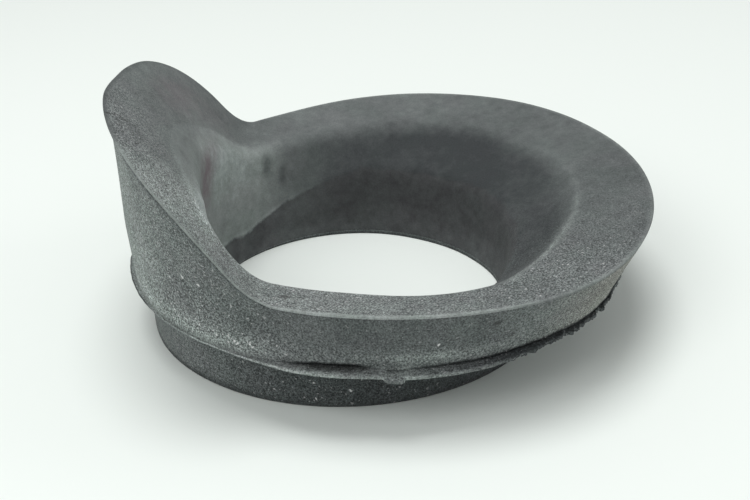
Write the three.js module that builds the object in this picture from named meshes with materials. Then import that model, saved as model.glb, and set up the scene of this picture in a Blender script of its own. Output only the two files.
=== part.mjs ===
// Waste outlet gasket: one moulded rubber ring with a round foot, a flared body and a raised tongue.
// Millimetres, +Z up. The tongue rises at -X. The ring is built around the axis of its bore, with
// angles measured from +X, and then set down with the centre of its footprint at the origin.

import * as THREE from 'three';

// Foot: the round collar that enters the waste pipe
const BORE_RADIUS = 32;
const COLLAR_WALL = 11;
const COLLAR_HEIGHT = 13.4;
const FOOT_CHAMFER = 0.8;

// Ledge that seats on the pipe's rim, narrow under the tongue and wide opposite it
const LEDGE_AT_TONGUE = 4;
const LEDGE_OPPOSITE = 17;
const LIP_THICKNESS = 0.6;
const LIP_REACH = 1.3;

// Groove where the body's wall tucks in above the lip
const GROOVE_HEIGHT = 0.7;
const GROOVE_DEPTH = 0.6;

// Body: a wall that leans out further opposite the tongue, up to the rim. The rim is drawn in
// at +X and beside the tongue's foot, which leaves it blunt at the shoulders between them
const BODY_HEIGHT = 11.1;
const FLARE_AT_TONGUE = 1;
const FLARE_OPPOSITE = 8.2;
const RIM_PINCH = 3.2;

// Top face, dished towards the bore
const FACE_WIDTH_AT_TONGUE = 12.9;
const FACE_WIDTH_OPPOSITE = 16.1;
const FACE_DISH = 2.7;

// Inside: a slightly tapered band above the foot, then a funnel up to the top face
const BAND_HEIGHT = 16;
const BAND_HEIGHT_AT_TONGUE = 6.3;
const BAND_TAPER = 3;
const BAND_DROP_FROM = 80;
const BAND_DROP_TO = 130;

// Tongue: the top face climbs towards -X, steep at its foot and easing towards the crown
const TONGUE_RISE = 26.6;
const TONGUE_DEPTH = 25.3;
const TONGUE_FOOT_ANGLE = 58.6;
const TONGUE_FOOT_BLEND = 4;
const TONGUE_LEAN = 0.6;
const TONGUE_INNER_LEAN = 2.2;
const CROWN_RADIUS = 83;
const CROWN_INNER_RADIUS = 83;

// Fineness of the mesh: steps around the axis, up the wall, across the top face and down the funnel
const STEPS_AROUND = 120;
const STEPS_UP_WALL = 6;
const STEPS_ACROSS_FACE = 4;
const STEPS_DOWN_FUNNEL = 2;

const FOOT_RADIUS = BORE_RADIUS + COLLAR_WALL;
const LIP_TOP = COLLAR_HEIGHT + LIP_THICKNESS;
const WALL_FOOT = LIP_TOP + GROOVE_HEIGHT;
const RIM_HEIGHT = WALL_FOOT + BODY_HEIGHT;

// An off-centre circle of the plan, from how far it reaches at the tongue (-X) and opposite it (+X)
const circleReaching = (atTongue, opposite) => ({
  centre: (opposite - atTongue) / 2,
  radius: (opposite + atTongue) / 2,
});

// The circle widened or narrowed by its own amount at the tongue and opposite it
const widened = (circle, atTongue, opposite) => circleReaching(
  circle.radius - circle.centre + atTongue,
  circle.radius + circle.centre + opposite,
);

const lipCircle = circleReaching(FOOT_RADIUS + LEDGE_AT_TONGUE, FOOT_RADIUS + LEDGE_OPPOSITE);
const wallFootCircle = widened(lipCircle, -LIP_REACH, -LIP_REACH);
const rimCircle = widened(wallFootCircle, FLARE_AT_TONGUE, FLARE_OPPOSITE);
const mouthCircle = widened(rimCircle, -FACE_WIDTH_AT_TONGUE, -FACE_WIDTH_OPPOSITE);

// Distance from the bore axis to an off-centre circle, in the direction of the angle
function reach({ centre, radius }, angle) {
  return centre * Math.cos(angle) + Math.sqrt(radius ** 2 - (centre * Math.sin(angle)) ** 2);
}

// The circle flattened towards a larger radius up the tongue, while its tongue side only leans a little
function flattened(circle, crownRadius, lean, share) {
  const radius = THREE.MathUtils.lerp(circle.radius, crownRadius, share);
  const tongueSide = circle.radius - circle.centre + lean * share;
  return { centre: radius - tongueSide, radius };
}

// Height of the top face's outer part over any point of the plan, ruled along Y
function topHeight(x) {
  const slopeStart = TONGUE_DEPTH - (rimCircle.radius - rimCircle.centre) - TONGUE_LEAN;
  const slope = Math.tan(THREE.MathUtils.degToRad(TONGUE_FOOT_ANGLE));
  const along = slopeStart - x;
  const eased = Math.max(along + TONGUE_FOOT_BLEND, 0) ** 2 / (4 * TONGUE_FOOT_BLEND);
  const climbed = Math.abs(along) < TONGUE_FOOT_BLEND ? eased : Math.max(along, 0);
  const flattening = (slope * TONGUE_DEPTH - TONGUE_RISE) / TONGUE_DEPTH ** 2;
  return RIM_HEIGHT + slope * climbed - flattening * climbed ** 2;
}

// How far the rim is drawn in at an angle: three waves around the rim circle's own centre
function rimPinch(angle) {
  const { centre, radius } = rimCircle;
  const aroundCentre = Math.atan2(radius * Math.sin(angle), radius * Math.cos(angle) - centre);
  return RIM_PINCH * (1 + Math.cos(3 * aroundCentre)) / 2;
}

// Distance of the outer wall from the axis at an angle and a height. The pinch fades up the tongue
function wallReach(angle, height) {
  if (height <= RIM_HEIGHT) {
    const up = (height - WALL_FOOT) / BODY_HEIGHT;
    const rim = reach(rimCircle, angle) - rimPinch(angle);
    return THREE.MathUtils.lerp(reach(wallFootCircle, angle), rim, up);
  }
  const share = (height - RIM_HEIGHT) / TONGUE_RISE;
  const flat = flattened(rimCircle, CROWN_RADIUS, TONGUE_LEAN, share ** 2);
  return reach(flat, angle) - rimPinch(angle) * (1 - share) ** 4;
}

// Distance of the top face's inner edge from the axis at an angle and a height
function mouthReach(angle, height) {
  const share = Math.max(height + FACE_DISH - RIM_HEIGHT, 0) / TONGUE_RISE;
  return reach(flattened(mouthCircle, CROWN_INNER_RADIUS, TONGUE_INNER_LEAN, share), angle);
}

// Where the half-plane at an angle meets both an upright wall and the top face lowered by a drop
function meetTop(wall, angle, drop) {
  let low = RIM_HEIGHT - drop;
  let high = RIM_HEIGHT + TONGUE_RISE - drop;
  for (let halving = 0; halving < 40; halving += 1) {
    const middle = (low + high) / 2;
    const above = topHeight(wall(angle, middle) * Math.cos(angle)) - drop > middle;
    if (above) low = middle;
    else high = middle;
  }
  return new THREE.Vector2(wall(angle, low), low);
}

// Height of the bore band, lower under the tongue
function bandHeight(angle) {
  const fromFront = THREE.MathUtils.radToDeg(Math.acos(Math.cos(angle)));
  const drop = THREE.MathUtils.smoothstep(fromFront, BAND_DROP_FROM, BAND_DROP_TO);
  return THREE.MathUtils.lerp(BAND_HEIGHT, BAND_HEIGHT_AT_TONGUE, drop);
}

// Foot and ledge, from the bore's lower edge out to the foot of the body's wall
function footPoints(angle) {
  const lip = reach(lipCircle, angle);
  const wallFoot = reach(wallFootCircle, angle);
  return [
    new THREE.Vector2(BORE_RADIUS, 0),
    new THREE.Vector2(FOOT_RADIUS - FOOT_CHAMFER, 0),
    new THREE.Vector2(FOOT_RADIUS, FOOT_CHAMFER),
    new THREE.Vector2(FOOT_RADIUS, COLLAR_HEIGHT),
    new THREE.Vector2(lip, COLLAR_HEIGHT),
    new THREE.Vector2(lip, LIP_TOP),
    new THREE.Vector2(wallFoot - GROOVE_DEPTH, LIP_TOP),
    new THREE.Vector2(wallFoot, WALL_FOOT),
  ];
}

// Outer wall, from above its foot up to the top face's outer edge
function wallPoints(angle, outerEdge) {
  const points = [];
  for (let step = 1; step < STEPS_UP_WALL; step += 1) {
    const height = THREE.MathUtils.lerp(WALL_FOOT, outerEdge.y, step / STEPS_UP_WALL);
    points.push(new THREE.Vector2(wallReach(angle, height), height));
  }
  return points;
}

// Top face, from its outer edge to its inner edge
function facePoints(angle, outerEdge, innerEdge) {
  const points = [outerEdge];
  for (let step = 1; step < STEPS_ACROSS_FACE; step += 1) {
    const across = step / STEPS_ACROSS_FACE;
    const distance = THREE.MathUtils.lerp(outerEdge.x, innerEdge.x, across);
    points.push(new THREE.Vector2(distance, topHeight(distance * Math.cos(angle)) - FACE_DISH * across));
  }
  points.push(innerEdge);
  return points;
}

// Funnel and bore band, from below the top face's inner edge down to the band's upper edge
function funnelPoints(angle, innerEdge) {
  const height = bandHeight(angle);
  const bandEdge = new THREE.Vector2(BORE_RADIUS + BAND_TAPER * height / BAND_HEIGHT, height);
  const points = [];
  for (let step = 1; step <= STEPS_DOWN_FUNNEL; step += 1) {
    points.push(innerEdge.clone().lerp(bandEdge, step / STEPS_DOWN_FUNNEL));
  }
  return points;
}

// The closed section in the half-plane at an angle: x is the distance from the axis, y the height
function sectionAt(angle) {
  const outerEdge = meetTop(wallReach, angle, 0);
  const innerEdge = meetTop(mouthReach, angle, FACE_DISH);
  const points = [
    ...footPoints(angle),
    ...wallPoints(angle, outerEdge),
    ...facePoints(angle, outerEdge, innerEdge),
    ...funnelPoints(angle, innerEdge),
  ];
  return [...points, points[0].clone()];
}

// A plain ring is turned from one section, then each half-plane takes the section of its own angle
function gasketGeometry() {
  const plainSection = sectionAt(Math.PI / 2);
  const geometry = new THREE.LatheGeometry(plainSection, STEPS_AROUND);
  const position = geometry.getAttribute('position');
  for (let step = 0; step <= STEPS_AROUND; step += 1) {
    const angle = 2 * Math.PI * (step % STEPS_AROUND) / STEPS_AROUND;
    sectionAt(angle).forEach((point, place) => {
      const index = step * plainSection.length + place;
      position.setXYZ(index, point.x * Math.cos(angle), point.x * Math.sin(angle), point.y);
    });
  }
  geometry.computeVertexNormals();
  return geometry;
}

const rubber = new THREE.MeshStandardMaterial({ color: 0x5b5e5e, roughness: 0.85, metalness: 0 });

const geometry = gasketGeometry();
geometry.computeBoundingBox();
const footprintCentre = geometry.boundingBox.getCenter(new THREE.Vector3());

const gasket = new THREE.Mesh(geometry, rubber);
gasket.name = 'gasket';
gasket.position.set(-footprintCentre.x, -footprintCentre.y, 0);

const part = new THREE.Group();
part.add(gasket);

export default part;
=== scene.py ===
import math

import bmesh
import bpy
import numpy as np
from mathutils import Matrix, Vector, noise


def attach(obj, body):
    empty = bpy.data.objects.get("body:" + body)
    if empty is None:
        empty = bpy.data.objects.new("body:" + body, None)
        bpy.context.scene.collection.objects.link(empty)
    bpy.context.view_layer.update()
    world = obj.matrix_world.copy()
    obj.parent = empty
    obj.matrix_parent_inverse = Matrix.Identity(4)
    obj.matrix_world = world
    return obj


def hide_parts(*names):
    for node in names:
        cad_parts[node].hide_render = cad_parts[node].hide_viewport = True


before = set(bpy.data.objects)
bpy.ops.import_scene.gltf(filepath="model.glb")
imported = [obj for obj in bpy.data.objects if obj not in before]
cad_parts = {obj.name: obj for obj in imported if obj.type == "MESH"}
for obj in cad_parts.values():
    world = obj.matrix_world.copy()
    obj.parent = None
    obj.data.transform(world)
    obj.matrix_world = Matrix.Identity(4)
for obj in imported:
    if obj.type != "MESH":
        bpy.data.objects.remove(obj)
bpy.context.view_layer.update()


# The gasket
# One moulding in grey rubber: a round foot collar with a thin lip along the mould's parting line, a flared
# body with a dished face, a tongue on one side and a straight bore. It is moulded whole, and its flash was
# torn off. Sizes are in mm, and angles run round the bore's axis from +X, away from the tongue.

MM = 0.001
BORE_AXIS_X = -8.2

STEPS_AROUND = 640
FINE_FROM, FINE_TO, FINE_SHARE = 240, 335, 0.5      # half of the steps go to the torn front of the lip
BORE_RADIUS, BORE_EDGE_ROUNDING, FOOT_RADIUS, FOOT_ROUNDING = 32, 0.25, 43, 0.9
LEDGE_HEIGHT, LIP_THICKNESS, LIP_ROUNDING = 13.4, 0.6, 0.15
WALL_LOW, WALL_FOOT, RIM_HEIGHT, RIM_ROUNDING = 14.25, 14.7, 25.8, 0.55
WALL_FOOT_CENTRE, WALL_FOOT_RADIUS = 6.5, 52.2
RIM_CENTRE, RIM_RADIUS, RIM_PINCH = 10.1, 56.8, 3.2
MOUTH_CENTRE, MOUTH_RADIUS, FACE_DISH = 8.5, 42.3, 2.7
CROWN_RADIUS, TONGUE_RISE, TONGUE_DEPTH, TONGUE_SLOPE = 83, 26.6, 25.3, math.tan(math.radians(58.6))
TONGUE_FOOT_BLEND, TONGUE_LEAN, TONGUE_INNER_LEAN = 4, 0.6, 2.2
BAND_TOP, BAND_TOP_AT_TONGUE, BAND_TAPER, BAND_ROUNDING = 16, 6.3, 3, 2.5

share = np.arange(STEPS_AROUND) / STEPS_AROUND
before_fine = (1 - FINE_SHARE) * FINE_FROM / (360 - FINE_TO + FINE_FROM)
degrees = np.interp(share, [0, before_fine, before_fine + FINE_SHARE, 1], [0, FINE_FROM, FINE_TO, 360])
turn = np.radians(degrees)


def around(knots, softness=4):
    """A size all round the ring, from its values at a few angles, eased from one to the next."""
    spacing = 0.25
    even = np.arange(0, 360, spacing)
    angles = sorted(knots)
    sizes = np.interp(even, angles, [knots[angle] for angle in angles], period=360)
    width = int(softness / spacing)
    window = np.hanning(2 * width + 3)[1:-1]
    wrapped = np.concatenate([sizes[-width:], sizes, sizes[:width]])
    return np.interp(degrees, even, np.convolve(wrapped, window / window.sum(), "valid"), period=360)


def circle(centre, radius):
    """Reach from the bore's axis to a circle whose centre is off the axis."""
    return centre * np.cos(turn) + np.sqrt(radius ** 2 - (centre * np.sin(turn)) ** 2)


def near(angle, spread):
    """1 at an angle, falling away to 0 on both sides of it."""
    apart = (degrees - angle + 180) % 360 - 180
    return np.exp(-(apart / spread) ** 2)


def ragged(size, seed):
    """Uneven ups and downs round the ring, between -1 and 1, with teeth of about a size in degrees."""
    return np.array([noise.noise(Vector((d / size, seed, 0.3))) for d in degrees]) * 1.6


# The rim is skewed a little, fullest at the back right, and the mouth is uneven and drawn in at the tongue
wave = np.arctan2(RIM_RADIUS * np.sin(turn), RIM_RADIUS * np.cos(turn) - RIM_CENTRE)
pinch = RIM_PINCH * (1 + np.cos(3 * wave)) / 2
skew = 1.23 * np.sin(2 * wave) + 0.3 * np.sin(3 * wave)
wall_foot = circle(WALL_FOOT_CENTRE, WALL_FOOT_RADIUS) + around({
    150: 0, 180: 0.4, 200: 0.5, 212: 0.4, 228: 0.1, 240: 0, 266: 0, 271: 0.2, 277: 0.7, 291: 1, 300: 0.8,
    306: 0.9, 313: 1.2, 321: 0.9, 325: 0.7, 329: 0.1, 345: 0})
rim_skew = around({
    0: 0.9, 12: 0.7, 22: 0.5, 31: 0.7, 45: 1.2, 56: 1.3, 70: 1.8, 85: 1.5, 95: 0.9, 110: 0.2, 130: 0, 146: 0.4,
    156: 0, 168: -0.3, 182: 0.3, 195: 0.1, 205: 0, 252: 0, 262: -0.6, 275: -0.8, 286: -0.6, 295: 0, 302: 0.7,
    311: 1, 330: 0.7, 347: 0.9}, 6)
mouth_skew = around({
    0: -0.8, 7: 0.6, 15: 1.6, 24: 2.2, 35: 1.6, 45: 1.6, 52: 2, 60: 1, 68: 0.4, 75: -0.8, 85: -1.6, 95: -2,
    104: -2.4, 112: -2.4, 120: -1.9, 130: -2.4, 138: -3.4, 148: -4.4, 158: -4.7, 175: -4.5, 195: -4.2, 203: -3.9,
    210: -2.8, 217: -1.3, 226: -0.1, 228: 0.1, 239: -0.5, 249: -1.2, 257: -1.6, 264: -1.7, 271: -1.3, 276: -0.7,
    282: 0, 290: 0.7, 299: 1.1, 304: 0.8, 310: -0.5, 317: -1.6, 325: -2.6, 334: -3.2, 342: -3, 350: -2}, 5)
rim_height = RIM_HEIGHT + around({20: 0, 50: 0.4, 80: 0.6, 104: 0.5, 112: 0.8, 125: 0.5, 150: 0, 360: 0}, 8)


def flattened(centre, radius, crown, lean, rise):
    """Reach to a circle that opens towards the crown's larger one as the wall rises up the tongue."""
    opened = radius + (crown - radius) * rise
    return circle(opened - (radius - centre + lean * rise), opened)


def wall_reach(height):
    """Reach of the outer wall at a height, all round."""
    up = np.clip((height - WALL_FOOT) / (rim_height - WALL_FOOT), 0, 1)
    rim = circle(RIM_CENTRE, RIM_RADIUS) - pinch + skew + rim_skew
    body = wall_foot + (rim - wall_foot) * up
    rise = np.clip((height - rim_height) / TONGUE_RISE, 0, 1)
    tongue = flattened(RIM_CENTRE, RIM_RADIUS, CROWN_RADIUS, TONGUE_LEAN, rise ** 2)
    return np.where(height > rim_height, tongue - pinch * (1 - rise) ** 4 + skew + rim_skew, body)


def mouth_reach(height):
    """Reach of the face's inner edge at a height, all round."""
    rise = np.clip((height + FACE_DISH - rim_height) / TONGUE_RISE, 0, 1)
    return flattened(MOUTH_CENTRE, MOUTH_RADIUS, CROWN_RADIUS, TONGUE_INNER_LEAN, rise) + mouth_skew


def face_height(reach):
    """Height of the face without its dish: level, then up the tongue, steep and easing to the crown."""
    start = TONGUE_DEPTH - (RIM_RADIUS - RIM_CENTRE) - TONGUE_LEAN
    along = start - reach * np.cos(turn)
    eased = np.maximum(along + TONGUE_FOOT_BLEND, 0) ** 2 / (4 * TONGUE_FOOT_BLEND)
    climbed = np.where(np.abs(along) < TONGUE_FOOT_BLEND, eased, np.maximum(along, 0))
    flattening = (TONGUE_SLOPE * TONGUE_DEPTH - TONGUE_RISE) / TONGUE_DEPTH ** 2
    return rim_height + TONGUE_SLOPE * climbed - flattening * climbed ** 2


def edge_of_face(reach_at, drop, halvings=40):
    """Where a wall meets the face, all round, by halving the heights between which it lies."""
    low = rim_height - drop
    high = low + TONGUE_RISE + 2
    for _ in range(halvings):
        middle = (low + high) / 2
        above = face_height(reach_at(middle)) - drop > middle
        low, high = np.where(above, middle, low), np.where(above, high, middle)
    return reach_at(low), low


outer_edge = edge_of_face(wall_reach, 0)
inner_edge = edge_of_face(mouth_reach, FACE_DISH)

# The smooth band above the foot is low at the tongue, and ends lower and wider at the front right
FUNNEL_LOWER, FUNNEL_WIDER = 2.2, 1.2
tongue_side = around({0: 0, 80: 0, 130: 1, 230: 1, 280: 0})
front_right = near(315, 18)
band_top = BAND_TOP + (BAND_TOP_AT_TONGUE - BAND_TOP) * tongue_side - FUNNEL_LOWER * front_right
band_edge = (BORE_RADIUS + BAND_TAPER * band_top / BAND_TOP + FUNNEL_WIDER * front_right, band_top)

# The lip: flush at the left, a flat flash along the front, a rounded tab, a hanging skirt, then torn off
torn = around({0: 0.2, 60: 0.1, 180: 0.1, 240: 0, 290: 0, 294: 0.5, 299: 1, 322: 1, 327: 0.4}, 2)
TAB_AT, TAB_HALF_WIDTH = 272.4, 2
tab = np.sqrt(np.maximum(1 - ((degrees - TAB_AT) / TAB_HALF_WIDTH) ** 4, 0))
lip_reach = wall_foot + around({
    0: 0.5, 30: 0.7, 60: 0.8, 90: 1, 120: 0.8, 150: 0.8, 178: 1.2, 190: 0.9, 200: 0.6, 212: 0.4, 222: 0.25,
    234: 0.3, 240: 0.6, 245: 1, 249: 1.5, 254: 2, 262: 2.2, 271: 2, 279: 1.65, 287: 1.4, 293: 1.5, 301: 1.2,
    306: 1, 312: 0.8, 319: 0.6, 323: 0.4, 330: 0.2, 340: 0.3}, 2)
lip_reach += 0.9 * tab + torn * (0.25 * ragged(1.7, 1) + 0.3 * ragged(0.6, 2)) + 0.06 * ragged(2.5, 3)
lip_droop = around({0: 0.1, 200: 0, 250: 0, 268: 0.1, 274: 0.5, 285: 0.7, 293: 0.5, 300: 0.2, 334: 0.1}, 2)
lip_droop += 0.25 * tab + torn * (0.25 * ragged(1.1, 4) + 0.25 * ragged(0.5, 5))
lip_thickness = LIP_THICKNESS + torn * (0.1 + 0.25 * ragged(0.8, 6)) - around({
    0: 0, 150: 0, 180: 0.25, 240: 0.25, 250: 0.1, 262: 0, 290: 0})
groove_depth = around({
    0: 0.6, 90: 0.6, 180: 0.15, 200: 0.05, 248: 0.05, 252: 0.4, 255: 1.4, 266: 1.4, 269: 0.05, 274: 0.05,
    280: 0.4, 286: 0.8, 296: 0.8, 302: 0.5, 308: 0.3, 334: 0.4}, 1.5)
void = around({250: 0, 253: 0.3, 257: 1, 264: 1, 267: 0.5, 269: 0}, 1)
wall_low = WALL_LOW + 0.65 * void + 0.1 * ragged(3, 8) - 0.15 * around({
    0: 0, 170: 0, 185: 1, 245: 1, 250: 0, 268: 0, 270: 1, 275: 1, 278: 0}, 1)

# The section's rows in turn, from the bore's edge out under the foot, up the outside and down the funnel
section = []


def add_row(region, reach, height):
    """One row all round the ring, whose reach and height are each one size or differ by angle."""
    section.append((region, reach + 0 * turn, height + 0 * turn))


def add_run(region, start, end, rows):
    """Rows on a straight line, without its two ends."""
    for row in range(1, rows + 1):
        part = row / (rows + 1)
        add_row(region, *(a + (b - a) * part for a, b in zip(start, end)))


def add_bend(region, before, corner, after, rows):
    """Rows round a corner, from the point before it to the point after it."""
    for row in range(rows):
        t = row / (rows - 1)
        add_row(region, *(
            a * (1 - t) ** 2 + 2 * b * t * (1 - t) + c * t ** 2 for a, b, c in zip(before, corner, after)))


def towards(point, other, distance):
    """The point a small distance on from a point, towards another."""
    gap = np.hypot(other[0] - point[0], other[1] - point[1])
    return tuple(a + (b - a) * distance / gap for a, b in zip(point, other))


# Under the tongue the collar is a little fuller, and widens upwards. The bore isn't quite round.
under_tongue = near(190, 26)
collar_foot = FOOT_RADIUS + 0.4 * under_tongue
collar_top = FOOT_RADIUS + 0.75 * under_tongue
bore = BORE_RADIUS + 0.8 * near(2, 16) - 0.35 * near(52, 16)
bore_edge, sole_start, sole_end = (bore, BORE_EDGE_ROUNDING), (bore + BORE_EDGE_ROUNDING, 0), (
    collar_foot - FOOT_ROUNDING, 0)
add_bend("foot", bore_edge, (bore, 0), sole_start, 3)
add_run("foot", sole_start, sole_end, 4)
add_bend("foot", sole_end, (collar_foot, 0), (collar_foot, FOOT_ROUNDING), 4)
add_run("collar", (collar_foot, FOOT_ROUNDING), (collar_top, LEDGE_HEIGHT), 12)

LIP_ROOT_WIDTH, GROOVE_GAP = 0.5, 0.1
ledge_end = (wall_foot - LIP_ROOT_WIDTH, LEDGE_HEIGHT)
lip_bottom = LEDGE_HEIGHT - lip_droop
lip_top = lip_bottom + lip_thickness
lip_in = lip_reach - LIP_ROUNDING
add_row("ledge", collar_top, LEDGE_HEIGHT)
add_run("ledge", (collar_top, LEDGE_HEIGHT), ledge_end, 2)
add_row("ledge", *ledge_end)
add_run("lip", ledge_end, (lip_in, lip_bottom), 2)
add_bend("edge of lip", (lip_in, lip_bottom), (lip_reach, lip_bottom), (lip_reach, lip_bottom + LIP_ROUNDING), 3)
add_bend("edge of lip", (lip_reach, lip_top - LIP_ROUNDING), (lip_reach, lip_top), (lip_in, lip_top), 3)
groove_floor = LEDGE_HEIGHT + np.minimum(lip_thickness, LIP_THICKNESS) - GROOVE_GAP
groove_bottom = (wall_foot - groove_depth, groove_floor)
wall_start = wall_low + GROOVE_GAP
add_run("top of lip", (lip_in, lip_top), groove_bottom, 4)
add_row("groove", *groove_bottom)
add_row("groove", wall_foot - groove_depth, wall_low - 0.2)
add_row("groove", wall_foot - 0.25 * groove_depth, wall_low - 0.05)
add_row("groove", wall_foot, wall_start)

# The wall is a little hollow at the front left and under the tongue's crown
WALL_ROWS, FACE_ROWS, CREASE_ROWS = 24, 18, 6
wall_end = outer_edge[1] - RIM_ROUNDING
under_crown = around({150: 0, 175: 0.7, 205: 0.8, 224: 0})
for row in range(1, WALL_ROWS + 1):
    height = wall_start + (wall_end - wall_start) * row / WALL_ROWS
    depth = wall_end - height
    hollow = 0.9 * near(247, 9) * np.exp(-((height - 21) / 5) ** 2)
    hollow += under_crown * (1 - np.exp(-depth / 1.5)) * np.exp(-(depth / 22) ** 2)
    add_row("wall", wall_reach(height) - hollow, height)
face_in = towards(outer_edge, inner_edge, RIM_ROUNDING)
add_bend("rim", section[-1][1:], outer_edge, face_in, 5)

crease_rounding = around({
    0: 1.4, 60: 2.2, 125: 2.4, 145: 3, 165: 4.5, 185: 5, 200: 4.4, 213: 2.4, 222: 1.4, 235: 1, 300: 1})
face_width = outer_edge[0] - inner_edge[0]
for row in range(1, FACE_ROWS + 1):
    across = RIM_ROUNDING / face_width + (1 - (RIM_ROUNDING + crease_rounding) / face_width) * row / FACE_ROWS
    reach = outer_edge[0] - face_width * across
    add_row("face", reach, face_height(reach) - FACE_DISH * across)
below = towards(inner_edge, band_edge, crease_rounding)
add_bend("crease", section[-1][1:], inner_edge, below, CREASE_ROWS)
band_start = towards(band_edge, below, BAND_ROUNDING)
band_end = towards(band_edge, bore_edge, BAND_ROUNDING)
add_run("funnel", below, band_start, 16)
add_bend("funnel", band_start, band_edge, band_end, 5)
add_run("bore", band_end, bore_edge, 10)

# A plain ring is spun from a circle of as many points as the section has, then takes its shape
PLAIN_RING, PLAIN_TUBE, SEAM = 50, 10, 0.0001
body = bmesh.new()
tube = bmesh.ops.create_circle(body, cap_ends=False, segments=len(section), radius=PLAIN_TUBE)["verts"]
bmesh.ops.rotate(body, verts=tube, cent=(0, 0, 0), matrix=Matrix.Rotation(math.pi / 2, 3, "X"))
bmesh.ops.translate(body, verts=tube, vec=(PLAIN_RING, 0, 0))
bmesh.ops.spin(
    body, geom=body.verts[:] + body.edges[:], cent=(0, 0, 0), axis=(0, 0, 1), angle=math.pi / 2,
    steps=STEPS_AROUND // 4)
for quarters in (1, 2):
    copied = bmesh.ops.duplicate(body, geom=body.verts[:] + body.edges[:] + body.faces[:])["geom"]
    bmesh.ops.rotate(
        body, verts=[part for part in copied if isinstance(part, bmesh.types.BMVert)], cent=(0, 0, 0),
        matrix=Matrix.Rotation(quarters * math.pi / 2, 3, "Z"))
bmesh.ops.remove_doubles(body, verts=body.verts[:], dist=SEAM)
reaches = np.array([row[1] for row in section])
heights = np.array([row[2] for row in section])
places, steps = [], []
for vertex in body.verts:
    x, y, z = vertex.co
    step = round(math.atan2(y, x) / math.tau * STEPS_AROUND) % STEPS_AROUND
    place = round(math.atan2(z, math.hypot(x, y) - PLAIN_RING) / math.tau * len(section)) % len(section)
    reach, height, angle = reaches[place, step], heights[place, step], turn[step]
    vertex.co = (reach * math.cos(angle) + BORE_AXIS_X, reach * math.sin(angle), height)
    places.append(place)
    steps.append(step)
bmesh.ops.scale(body, vec=(MM, MM, MM), verts=body.verts[:])
bmesh.ops.recalc_face_normals(body, faces=body.faces[:])
for face in body.faces:
    face.smooth = True
gasket_mesh = bpy.data.meshes.new("gasket_rubber")
body.to_mesh(gasket_mesh)
body.free()
gasket = bpy.data.objects.new("gasket_rubber", gasket_mesh)
bpy.context.scene.collection.objects.link(gasket)

# Where the rubber is clean or dusty, grainy or smooth, row by row of the section, with painted light laid into the
# dust.
# Dust is 0 on clean dark rubber, 1 on the usual grey and 2 where pale powder lies on it; painted highlights raise
# it along the rim and the mouth, and painted shade lowers it under the rim, on the torn flash, at the lip's edge
# and in the groove. Through runs from 0 to 1 in each region.
names = [row[0] for row in section]
regions = np.repeat(np.array(names)[:, None], STEPS_AROUND, axis=1)
through = np.array([names[:k].count(name) / (names.count(name) - 1) for k, name in enumerate(names)])[:, None]
USUAL_GRAIN, FAR_ABOVE = 0.6, 20
dust_and_painted_light, grain = np.ones(reaches.shape), np.full(reaches.shape, USUAL_GRAIN)
painted_shade_and_light, stain, warm_reflection_and_powder = np.ones(reaches.shape), np.zeros(reaches.shape), np.zeros(reaches.shape)
above_band = np.where(np.isin(regions, ("funnel", "bore", "crease")), heights - band_top, FAR_ABOVE)


def lay(coat, region, amounts):
    """Give one region its amounts of a coat, which differ round the ring or also from row to row."""
    coat[regions == region] = np.broadcast_to(amounts, coat.shape)[regions == region]


def ramp(value, low, high):
    """0 below low, 1 above high, and smooth between them."""
    t = np.clip((value - low) / (high - low), 0, 1)
    return t * t * (3 - 2 * t)


# The face's dust fades into the funnel's over a few mm past the mouth, along a slightly wandering line, and a
# painted highlight runs along the mouth's crease, on an edge that is partly pale with powder
WOBBLE_SIZE, WOBBLE = 3, 0.5
along = np.cumsum(np.hypot(np.diff(reaches, axis=0, prepend=reaches[:1]),
                           np.diff(heights, axis=0, prepend=heights[:1])), axis=0)
past_mouth = along - along[names.index("crease") + CREASE_ROWS // 2]
wobble = np.array([[noise.fractal(Vector((
    r * math.cos(t) / WOBBLE_SIZE, r * math.sin(t) / WOBBLE_SIZE, h / WOBBLE_SIZE)), 0.8, 2, 3)
    for r, h, t in zip(*row, turn)] for row in zip(reaches, heights)])
face_dust = around({
    0: 0.7, 20: 0.75, 60: 0.85, 90: 0.9, 110: 0.85, 130: 0.98, 180: 1.02, 202: 1.12, 212: 1.45, 222: 1.65,
    232: 1.42, 250: 1.18, 285: 1.16, 300: 0.98, 320: 0.85, 335: 0.75})
inner_dust = around({
    0: 0.2, 15: 0.12, 40: 0.02, 85: 0.1, 95: 0.32, 103: 0.65, 113: 1.2, 122: 1.7, 135: 1.9, 200: 2.05, 250: 1.4,
    300: 0.6, 320: 0.3, 340: 0.2}, 6)
fade_start = around({0: -0.5, 20: -1.5, 40: -4, 60: -4.5, 95: -4.5, 115: -3, 125: -1, 205: -1, 225: 0, 340: 0})
fade_width = around({0: 8, 20: 8, 45: 9, 95: 9, 115: 8, 125: 7, 205: 7, 225: 3, 325: 3, 345: 5})
faded = ramp(past_mouth + WOBBLE * wobble, fade_start, fade_start + fade_width)
crease_highlight_and_powder = around({
    0: 0.3, 20: 0.2, 40: 0, 108: 0, 122: 1, 138: 1, 150: 1.3, 160: 1.1, 172: 0.4, 190: 0.7, 205: 1.1, 216: 0.8,
    235: 0.3, 300: 0.3, 325: 0.7, 345: 0.6})
light_width = 1 + 3.5 * tongue_side
mouth_dust_and_highlight = (face_dust + (inner_dust - face_dust) * faded
              + crease_highlight_and_powder * np.exp(-((past_mouth + WOBBLE * wobble) / light_width) ** 2)
              - 0.3 * tongue_side * ramp(past_mouth, 5, 22))
for region in ("face", "crease", "funnel"):
    lay(dust_and_painted_light, region, mouth_dust_and_highlight)

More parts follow.
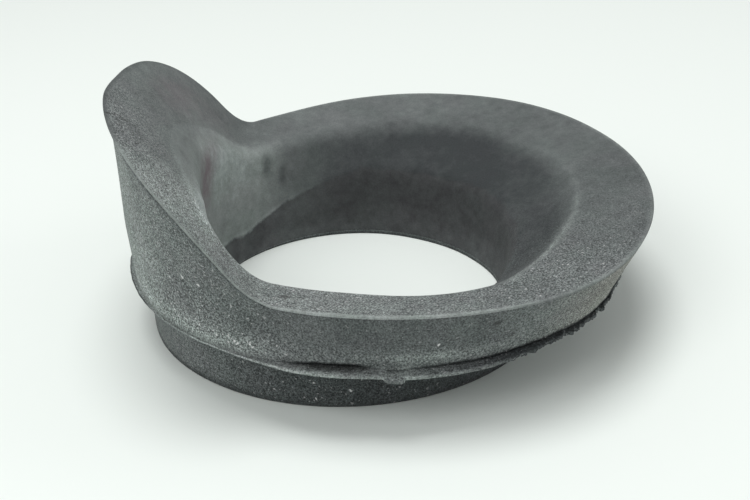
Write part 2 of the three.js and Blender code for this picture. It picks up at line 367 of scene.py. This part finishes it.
low_wall = np.exp(-((heights - 15.5) / 3) ** 2)
wall_dust_and_shade = around({
    0: 1.1, 90: 1, 150: 1.3, 180: 1.9, 205: 1.75, 215: 1.2, 228: 1.0, 240: 0.8, 247: 0.6, 262: 0.5, 280: 0.55,
    292: 0.8, 302: 1.1, 316: 1.05, 335: 1.1})
wall_dust_and_shade = wall_dust_and_shade + low_wall * around({
    0: 0.1, 150: 0.2, 180: 0.2, 205: 0.4, 225: 0.7, 240: 0.5, 255: 0.3, 268: 0.4, 280: 0.5, 292: 0.3, 320: 0.2})
wall_dust_and_shade += np.exp(-((heights - 16.6) / 0.9) ** 2) * around({266: 0, 272: 0.45, 287: 0.45, 296: 0})
# A painted shadow line darkens the top of the wall, just under the rim, at the front left
wall_dust_and_shade -= 0.6 * ramp(through, 0.92, 1) * around({195: 0, 207: 1, 240: 1, 250: 0})
lay(dust_and_painted_light, "foot", 0.25)
lay(dust_and_painted_light, "wall", wall_dust_and_shade)
# The rim's rounded edge carries a painted highlight: a faint one along the back, and a strong one along the front,
# where the edge is also pale with powder and wear
lay(dust_and_painted_light, "rim", around({
    0: 1.1, 20: 1.3, 100: 1.3, 115: 1, 140: 0.8, 195: 0.5, 206: 1.2, 212: 1.9, 235: 1.7, 252: 2, 290: 1.9,
    300: 1.4, 325: 1.4, 345: 1.1}))
lay(dust_and_painted_light, "collar", around({
    0: 0.5, 150: 0.9, 190: 1.12, 215: 0.95, 230: 0.57, 245: 0.3, 262: 0.15, 280: 0.15, 290: 0.25, 320: 0.4}))
# The lip's top, its edge and the groove are pale with powder at the left; painted shade darkens the torn flash at
# the front right under the overhanging wall, the lip's outer edge at the left and the groove over the void
lay(dust_and_painted_light, "top of lip", around({
    175: 1.8, 205: 2, 236: 1.5, 250: 1, 262: 1.15, 268: 1.25, 275: 1.05, 290: 0.3, 296: 0.1, 325: 0.1, 335: 1}, 2))
# Painted shade on the lip's outer edge at the left and on the torn flash
lay(dust_and_painted_light, "edge of lip", around({
    165: 1, 178: 0.3, 203: 0.3, 212: 1.8, 240: 2.2, 265: 1.5, 275: 1.8, 290: 1.1, 296: 0.2, 325: 0.1, 335: 1.2}, 2)
    - 0.9 * tab)
# Painted shade in the groove over the void and along the torn flash
lay(dust_and_painted_light, "groove", around({
    0: 0.4, 175: 1.6, 190: 1.8, 248: 1.2, 253: 0.4, 266: 0.4, 269: 1.3, 275: 1.3, 279: 0.4, 296: 0.1, 330: 0.4}, 2))

# Painted shade darkens the rubber in the groove, over the void on the lip's top and on the foot, and painted light
# evens out the light on the bore and at the funnel's foot, with a painted reflection of the floor's light towards
# the bore's lower edge
lay(painted_shade_and_light, "groove", around({
    0: 0.6, 175: 1, 249: 1, 255: 0.45, 266: 0.45, 269: 1, 275: 1, 282: 0.5, 300: 0.5, 320: 0.7}, 2))
lay(painted_shade_and_light, "top of lip", 1 - 0.6 * void * ramp(through, 0, 0.4))
bore_painted_light = around({0: 1.1, 40: 0.95, 60: 0.85, 90: 0.88, 105: 1.2, 120: 1.55, 250: 1.45, 330: 1.3})
lay(painted_shade_and_light, "bore", bore_painted_light + 0.3 * ramp(through, 0.4, 0.9))
lay(painted_shade_and_light, "funnel", bore_painted_light + (1 - bore_painted_light) * ramp(above_band, -0.5, 1))
lay(painted_shade_and_light, "foot", 0.85)
lay(grain, "face", around({
    0: 0.25, 20: 0.1, 60: 0.1, 150: 0.15, 165: 0.3, 180: 0.7, 192: 1, 228: 1.1, 250: 1.15, 275: 0.95, 310: 1.05,
    320: 0.9, 332: 0.6, 345: 0.4}) * (1 - 0.7 * through * around({150: 0, 180: 1, 205: 1, 218: 0})))
for region in ("crease", "funnel", "bore"):
    lay(grain, region, around({0: 0.2, 20: 0.1, 180: 0.1, 200: 0.2, 230: 0.7, 310: 0.6, 330: 0.5, 345: 0.3}))
lay(grain, "wall", around({
    0: 0.6, 150: 0.5, 190: 0.75, 205: 1, 220: 1.15, 247: 0.7, 256: 0.5, 285: 0.5, 300: 0.6, 315: 0.95})
    + 0.25 * low_wall)
lay(grain, "rim", 0.2)
lay(grain, "collar", around({0: 0.8, 180: 0.3, 200: 0.4, 220: 0.75, 245: 0.9, 270: 0.8, 290: 0.5}))
lay(grain, "top of lip", 0.7)

# The stain runs down the inside of the tongue, narrower as it goes, and fades out on the face above
DRIP_AT, DRIP_TOP, DRIP_FOOT, DRIP_SLANT = 160.5, 31.3, 16, 0.5
drip = (degrees - DRIP_AT - DRIP_SLANT * (DRIP_TOP - heights)) / (5 + 0.5 * (heights - DRIP_FOOT))
for region in ("crease", "funnel"):
    lay(stain, region, np.exp(-drip ** 2) * ramp(heights, 14, 22) * (1 - ramp(heights, 30, 34)))
lay(stain, "face", 0.3 * near(145, 14) * ramp(through, 0.1, 0.4) * (1 - ramp(through, 0.6, 1)))
# A warm tint on the right wall, partly a painted warm reflection and partly beige powder
lay(warm_reflection_and_powder, "wall", around({300: 0, 316: 0.8, 336: 1, 350: 0.5, 20: 0}))


def paint(name, values):
    """Put a coat on the mesh's points, where the material reads it by name."""
    coat = gasket_mesh.attributes.new(name, "FLOAT", "POINT")
    coat.data.foreach_set("value", values[places, steps].astype(np.float32))


paint("dust_and_painted_light", dust_and_painted_light)
paint("grain", grain)
paint("painted_shade_and_light", painted_shade_and_light)
paint("stain", stain)
paint("warm_reflection_and_powder", warm_reflection_and_powder)
paint("above_band", above_band)


class Shade:
    """One output of a shader node, so that shader maths reads as plain expressions."""

    def __init__(self, tree, socket):
        self.tree, self.socket = tree, socket

    def node(self, kind, settings=None, sockets=None, output=0):
        """Any other node, from its settings and the values or links of its sockets."""
        made = self.tree.nodes.new(kind)
        for name, value in (settings or {}).items():
            setattr(made, name, value)
        for key, value in (sockets or {}).items():
            if isinstance(value, Shade):
                self.tree.links.new(value.socket, made.inputs[key])
            else:
                made.inputs[key].default_value = value
        return Shade(self.tree, made.outputs[output])

    def maths(self, operation, first, second):
        return self.node("ShaderNodeMath", {"operation": operation}, {0: first, 1: second})

    def __add__(self, other):
        return self.maths("ADD", self, other)

    def __radd__(self, other):
        return self.maths("ADD", other, self)

    def __sub__(self, other):
        return self.maths("SUBTRACT", self, other)

    def __rsub__(self, other):
        return self.maths("SUBTRACT", other, self)

    def __mul__(self, other):
        return self.maths("MULTIPLY", self, other)

    def __rmul__(self, other):
        return self.maths("MULTIPLY", other, self)


rubber = bpy.data.materials.new("grey_rubber")
rubber.use_nodes = True
tree = rubber.node_tree
shader = tree.nodes["Principled BSDF"]
start = Shade(tree, None)
place_m = start.node("ShaderNodeTexCoord", output="Object")
place_mm = start.node("ShaderNodeVectorMath", {"operation": "SCALE"}, {0: place_m, "Scale": 1 / MM})


def grey(level, tint=(0, 0, 0)):
    """A grey by its level on screen from 0 to 255, with a slight tint, as the shader wants it."""
    screen = [(level + t) / 255 for t in tint]
    return (*[s / 12.92 if s < 0.04045 else ((s + 0.055) / 1.055) ** 2.4 for s in screen], 1)


def attribute(name):
    """A coat painted on the mesh, by its name."""
    return start.node("ShaderNodeAttribute", {"attribute_name": name}, output="Fac")


def clouds(size, detail=2, roughness=0.5, seed=0):
    """Noise with features of about a size in mm, from 0 to 1."""
    return start.node("ShaderNodeTexNoise", {"noise_dimensions": "4D"}, {
        "Vector": place_mm, "W": seed, "Scale": 1 / size, "Detail": detail, "Roughness": roughness})


def between(value, low, high):
    """0 below low, 1 above high, and smooth between them."""
    return start.node("ShaderNodeMapRange", {"interpolation_type": "SMOOTHSTEP"}, {
        "Value": value, "From Min": low, "From Max": high})


def mixed(share, first, second, blend="MIX"):
    """Two colours mixed, with a share of the second one."""
    return start.node(
        "ShaderNodeMix", {"data_type": "RGBA", "blend_type": blend},
        {0: share, 6: first, 7: second}, output=2)


# Small marks have uneven edges, because their distances are measured from a place that wanders a little
WANDER = 1.2
wandering = start.node("ShaderNodeVectorMath", {"operation": "MULTIPLY_ADD"}, {
    0: start.node("ShaderNodeTexNoise", None, {"Vector": place_mm, "Scale": 1.2, "Detail": 2}, output=1),
    1: (WANDER, WANDER, WANDER), 2: place_mm})


def spots(soft, places):
    """The sum of some spots, each given by its place and radius in mm, 1 inside and 0 outside."""
    total = 0
    for x, y, z, radius in places:
        apart = start.node("ShaderNodeVectorMath", {"operation": "DISTANCE"}, {
            0: wandering, 1: (x + WANDER / 2, y + WANDER / 2, z + WANDER / 2)}, output=1)
        total = between(apart, radius, radius * (1 - soft)) + total
    return total


# Clean rubber, the usual grey and powder by the amount of dust and painted light, with drifts, blotches and grain
# over them, the grain multiplied by the painted shade and light, and pale flecks that are partly painted glints
BAND_RUBBER, FUNNEL_RUBBER, USUAL_GREY = grey(57, (-1, 0, 1)), grey(57, (-3, 1, 2)), grey(104, (-3, 2, 1))
PALE_POWDER, WHITE_POWDER = grey(140, (-4, 3, 0)), grey(185, (-5, 3, 2))
RED_STAIN, WARM_GREY = grey(104, (8, -8, -2)), grey(140, (6, 1, -12))
PINKISH, GREENISH = (1.015, 0.992, 1.01, 1), (0.985, 1.008, 0.998, 1)
PALE_FLECK_AND_GLINT, PALE_SCUFF, DARK_MARK, DARK_CHIP = grey(195), grey(215), grey(56, (-3, 1, 2)), grey(50)
BAND_DUST, DARKEST_GRAIN = 0.15, 0.35

drifts = ((clouds(5, 3, 0.6, 5) - 0.5) * 0.8 + (clouds(17, 2, 0.5, 9) - 0.5) * 0.8
          + (clouds(1.8, 2, 0.6, 3) - 0.5) * 0.7)
above = between(attribute("above_band") + (clouds(5, 4, 0.6, 7) - 0.5) * 3.5, -0.5, 0.5)
laid = attribute("dust_and_painted_light") * above + (1 - above) * BAND_DUST
amount = laid + (laid * 0.5 + 0.55) * drifts
clean = mixed(above, BAND_RUBBER, FUNNEL_RUBBER)
dusty = mixed(amount, clean, USUAL_GREY)
powdered = mixed(amount - 1, dusty, PALE_POWDER)
whitened = mixed(amount - 2, powdered, WHITE_POWDER)
reddened = attribute("stain") * between(clouds(3, 3, 0.6, 31), 0.15, 0.6) * 0.75
stained = mixed(reddened, whitened, RED_STAIN)
# The right wall's warm tint: partly a painted warm reflection, partly beige powder
warmed = mixed(attribute("warm_reflection_and_powder") * 0.35, stained, WARM_GREY)
blotches = mixed(between(clouds(9, 3, 0.6, 17), 0.3, 0.7), PINKISH, GREENISH)
blotched = mixed(1.0, warmed, blotches, "MULTIPLY")
speckle = (clouds(0.36, 2, 0.8) - 0.5) * attribute("grain") * 8
# The grain's level is multiplied by the painted shade and light
level = start.maths("MAXIMUM", 1 + speckle, DARKEST_GRAIN) * attribute("painted_shade_and_light")
spread = start.node("ShaderNodeCombineColor", None, {0: level, 1: level, 2: level})
grained = mixed(1.0, blotched, spread, "MULTIPLY")
# Pale flecks where the grain is strong, partly painted glints off crystals of powder
flecks_and_glints = between(clouds(0.5, 0, 0.5, 21), 0.71, 0.79) * (attribute("grain") - 0.3)
flecked_and_glinting = mixed(flecks_and_glints, grained, PALE_FLECK_AND_GLINT)

# Single marks: two dark strokes in the funnel by the tongue, then chips and a cut at the tongue's tip, then
# pale flecks and scuffs on the wall and the collar
strokes = spots(1, [
    (-24.6, 31.6, 21.6, 2.2), (-24.8, 31.2, 20, 2.3), (-25, 30.8, 18.4, 2.2), (-20.7, 33.1, 18.6, 2.1),
    (-20.9, 32.6, 17.1, 2.2), (-21.1, 32.1, 15.6, 2.1)])
chips = spots(0.6, [
    (12.7, -53.6, 22.5, 0.9), (16.1, -51.6, 18.7, 0.7), (26.9, -47.9, 20.2, 0.6), (-23.9, -40.9, 24.4, 1.2),
    (-54.2, -11.8, 51.6, 0.7), (-53.5, -11, 51.2, 0.6), (-52.9, -10.3, 50.7, 0.6), (-52.1, -10.3, 50.1, 0.6),
    (-51.4, -10.7, 49.5, 0.6)])
scuffs = spots(0.6, [
    (-42.4, -33.8, 26.6, 0.52), (-39.4, -36.9, 26.3, 0.52), (-44.9, -30.1, 24.8, 0.35), (-50.5, -19.9, 17.9, 0.3),
    (2.3, -53.7, 19.1, 0.35), (-18.2, -47.9, 25.3, 0.35), (-19.7, -41.4, 5.6, 0.3), (-12.9, -42.7, 4.1, 0.3),
    (-19.5, -41.5, 2, 0.3), (-45.3, -29.2, 18.6, 0.32), (-44.8, -30, 17.7, 0.32), (-44.2, -30.9, 16.8, 0.32),
    (-40, -35.7, 17.1, 0.35), (-37.5, -38.2, 17, 0.32), (-37, -38.6, 16.4, 0.32), (-35.9, -39.6, 16.9, 0.3),
    (-34.4, -40.7, 16.7, 0.32), (-33.9, -41, 16.2, 0.35), (-33.3, -41.4, 15.8, 0.3), (-31, -43, 16.4, 0.32),
    (-30.5, -43.2, 15.9, 0.32)])
marked = mixed(strokes * 0.4, flecked_and_glinting, DARK_MARK)
chipped = mixed(chips * 0.7, marked, DARK_CHIP)
colour = mixed(scuffs * 0.85, chipped, PALE_SCUFF)
tree.links.new(colour.socket, shader.inputs["Base Color"])
roughness = 0.82 + (clouds(3, 2, 0.5, 11) - 0.5) * 0.2
tree.links.new(roughness.socket, shader.inputs["Roughness"])
shader.inputs["Specular IOR Level"].default_value = 0.3
bump = start.node("ShaderNodeBump", None, {
    "Height": clouds(0.6, 4, 0.7, 13) + clouds(3, 2, 0.5, 15), "Strength": 0.35, "Distance": 0.0003})
tree.links.new(bump.socket, shader.inputs["Normal"])
gasket_mesh.materials.append(rubber)

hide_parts("gasket")
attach(gasket, "root")


# The table top
# A plain sheet of pale matt paper, laid flat, that the gasket stands on. It takes the soft shadow and runs
# past the edges of the picture on all sides.

FLOOR_HALF, PALE_PAPER = 3, (0.84, 0.89, 0.855, 1)
ground = bmesh.new()
bmesh.ops.create_grid(ground, x_segments=2, y_segments=2, size=FLOOR_HALF)
floor_mesh = bpy.data.meshes.new("floor")
ground.to_mesh(floor_mesh)
ground.free()
floor = bpy.data.objects.new("floor", floor_mesh)
bpy.context.scene.collection.objects.link(floor)
paper = bpy.data.materials.new("pale_paper")
paper.use_nodes = True
sheet = paper.node_tree.nodes["Principled BSDF"]
sheet.inputs["Base Color"].default_value = PALE_PAPER
sheet.inputs["Roughness"].default_value = 0.9
sheet.inputs["Specular IOR Level"].default_value = 0.1
floor_mesh.materials.append(paper)


# Studio light
# A pale sky all round and three round, soft lamps: one overhead, one at the front left, and a weaker, low
# one at the right. All three point at the middle of the gasket. Places in m, powers in W.

LAMP_SIZE, LAMP_AIM, SKY_STRENGTH = 0.5, Vector((0, 0, 0.02)), 0.42
world = bpy.data.worlds.new("studio")
world.use_nodes = True
bpy.context.scene.world = world
sky = world.node_tree.nodes["Background"]
sky.inputs["Color"].default_value = (1, 1, 1, 1)
sky.inputs["Strength"].default_value = SKY_STRENGTH


def lamp(name, place, power):
    """A soft lamp that lights the gasket but isn't seen itself."""
    light = bpy.data.lights.new(name, "AREA")
    light.shape, light.size, light.energy = "DISK", LAMP_SIZE, power
    holder = bpy.data.objects.new(name, light)
    holder.location = place
    holder.rotation_euler = (LAMP_AIM - Vector(place)).to_track_quat("-Z", "Y").to_euler()
    holder.visible_camera = False
    bpy.context.scene.collection.objects.link(holder)


lamp("overhead_lamp", (-0.05, 0.04, 0.9), 4.1)
lamp("front_left_lamp", (-0.45, -0.45, 0.6), 2.25)
lamp("right_lamp", (0.85, 0, 0.25), 1.35)


# The camera
# It stands at the front, a little to the left, and looks down on the gasket at about 27 degrees through a
# longish lens. It leans 2 degrees to one side. Lens and sensor in mm, place in m, angles in degrees.

LENS, SENSOR, NEAREST = 57.6, 36, 0.01
CAMERA_PLACE, CAMERA_PITCH, CAMERA_LEAN, CAMERA_HEADING = (-0.02686, -0.23211, 0.13098), 62.838, 1.928, -6.888
camera = bpy.data.objects.new("camera", bpy.data.cameras.new("camera"))
camera.data.lens, camera.data.sensor_width, camera.data.clip_start = LENS, SENSOR, NEAREST
camera.location = CAMERA_PLACE
camera.rotation_euler = [math.radians(angle) for angle in (CAMERA_PITCH, CAMERA_LEAN, CAMERA_HEADING)]
bpy.context.scene.collection.objects.link(camera)
bpy.context.scene.camera = camera
bpy.context.scene.view_settings.view_transform = "Standard"
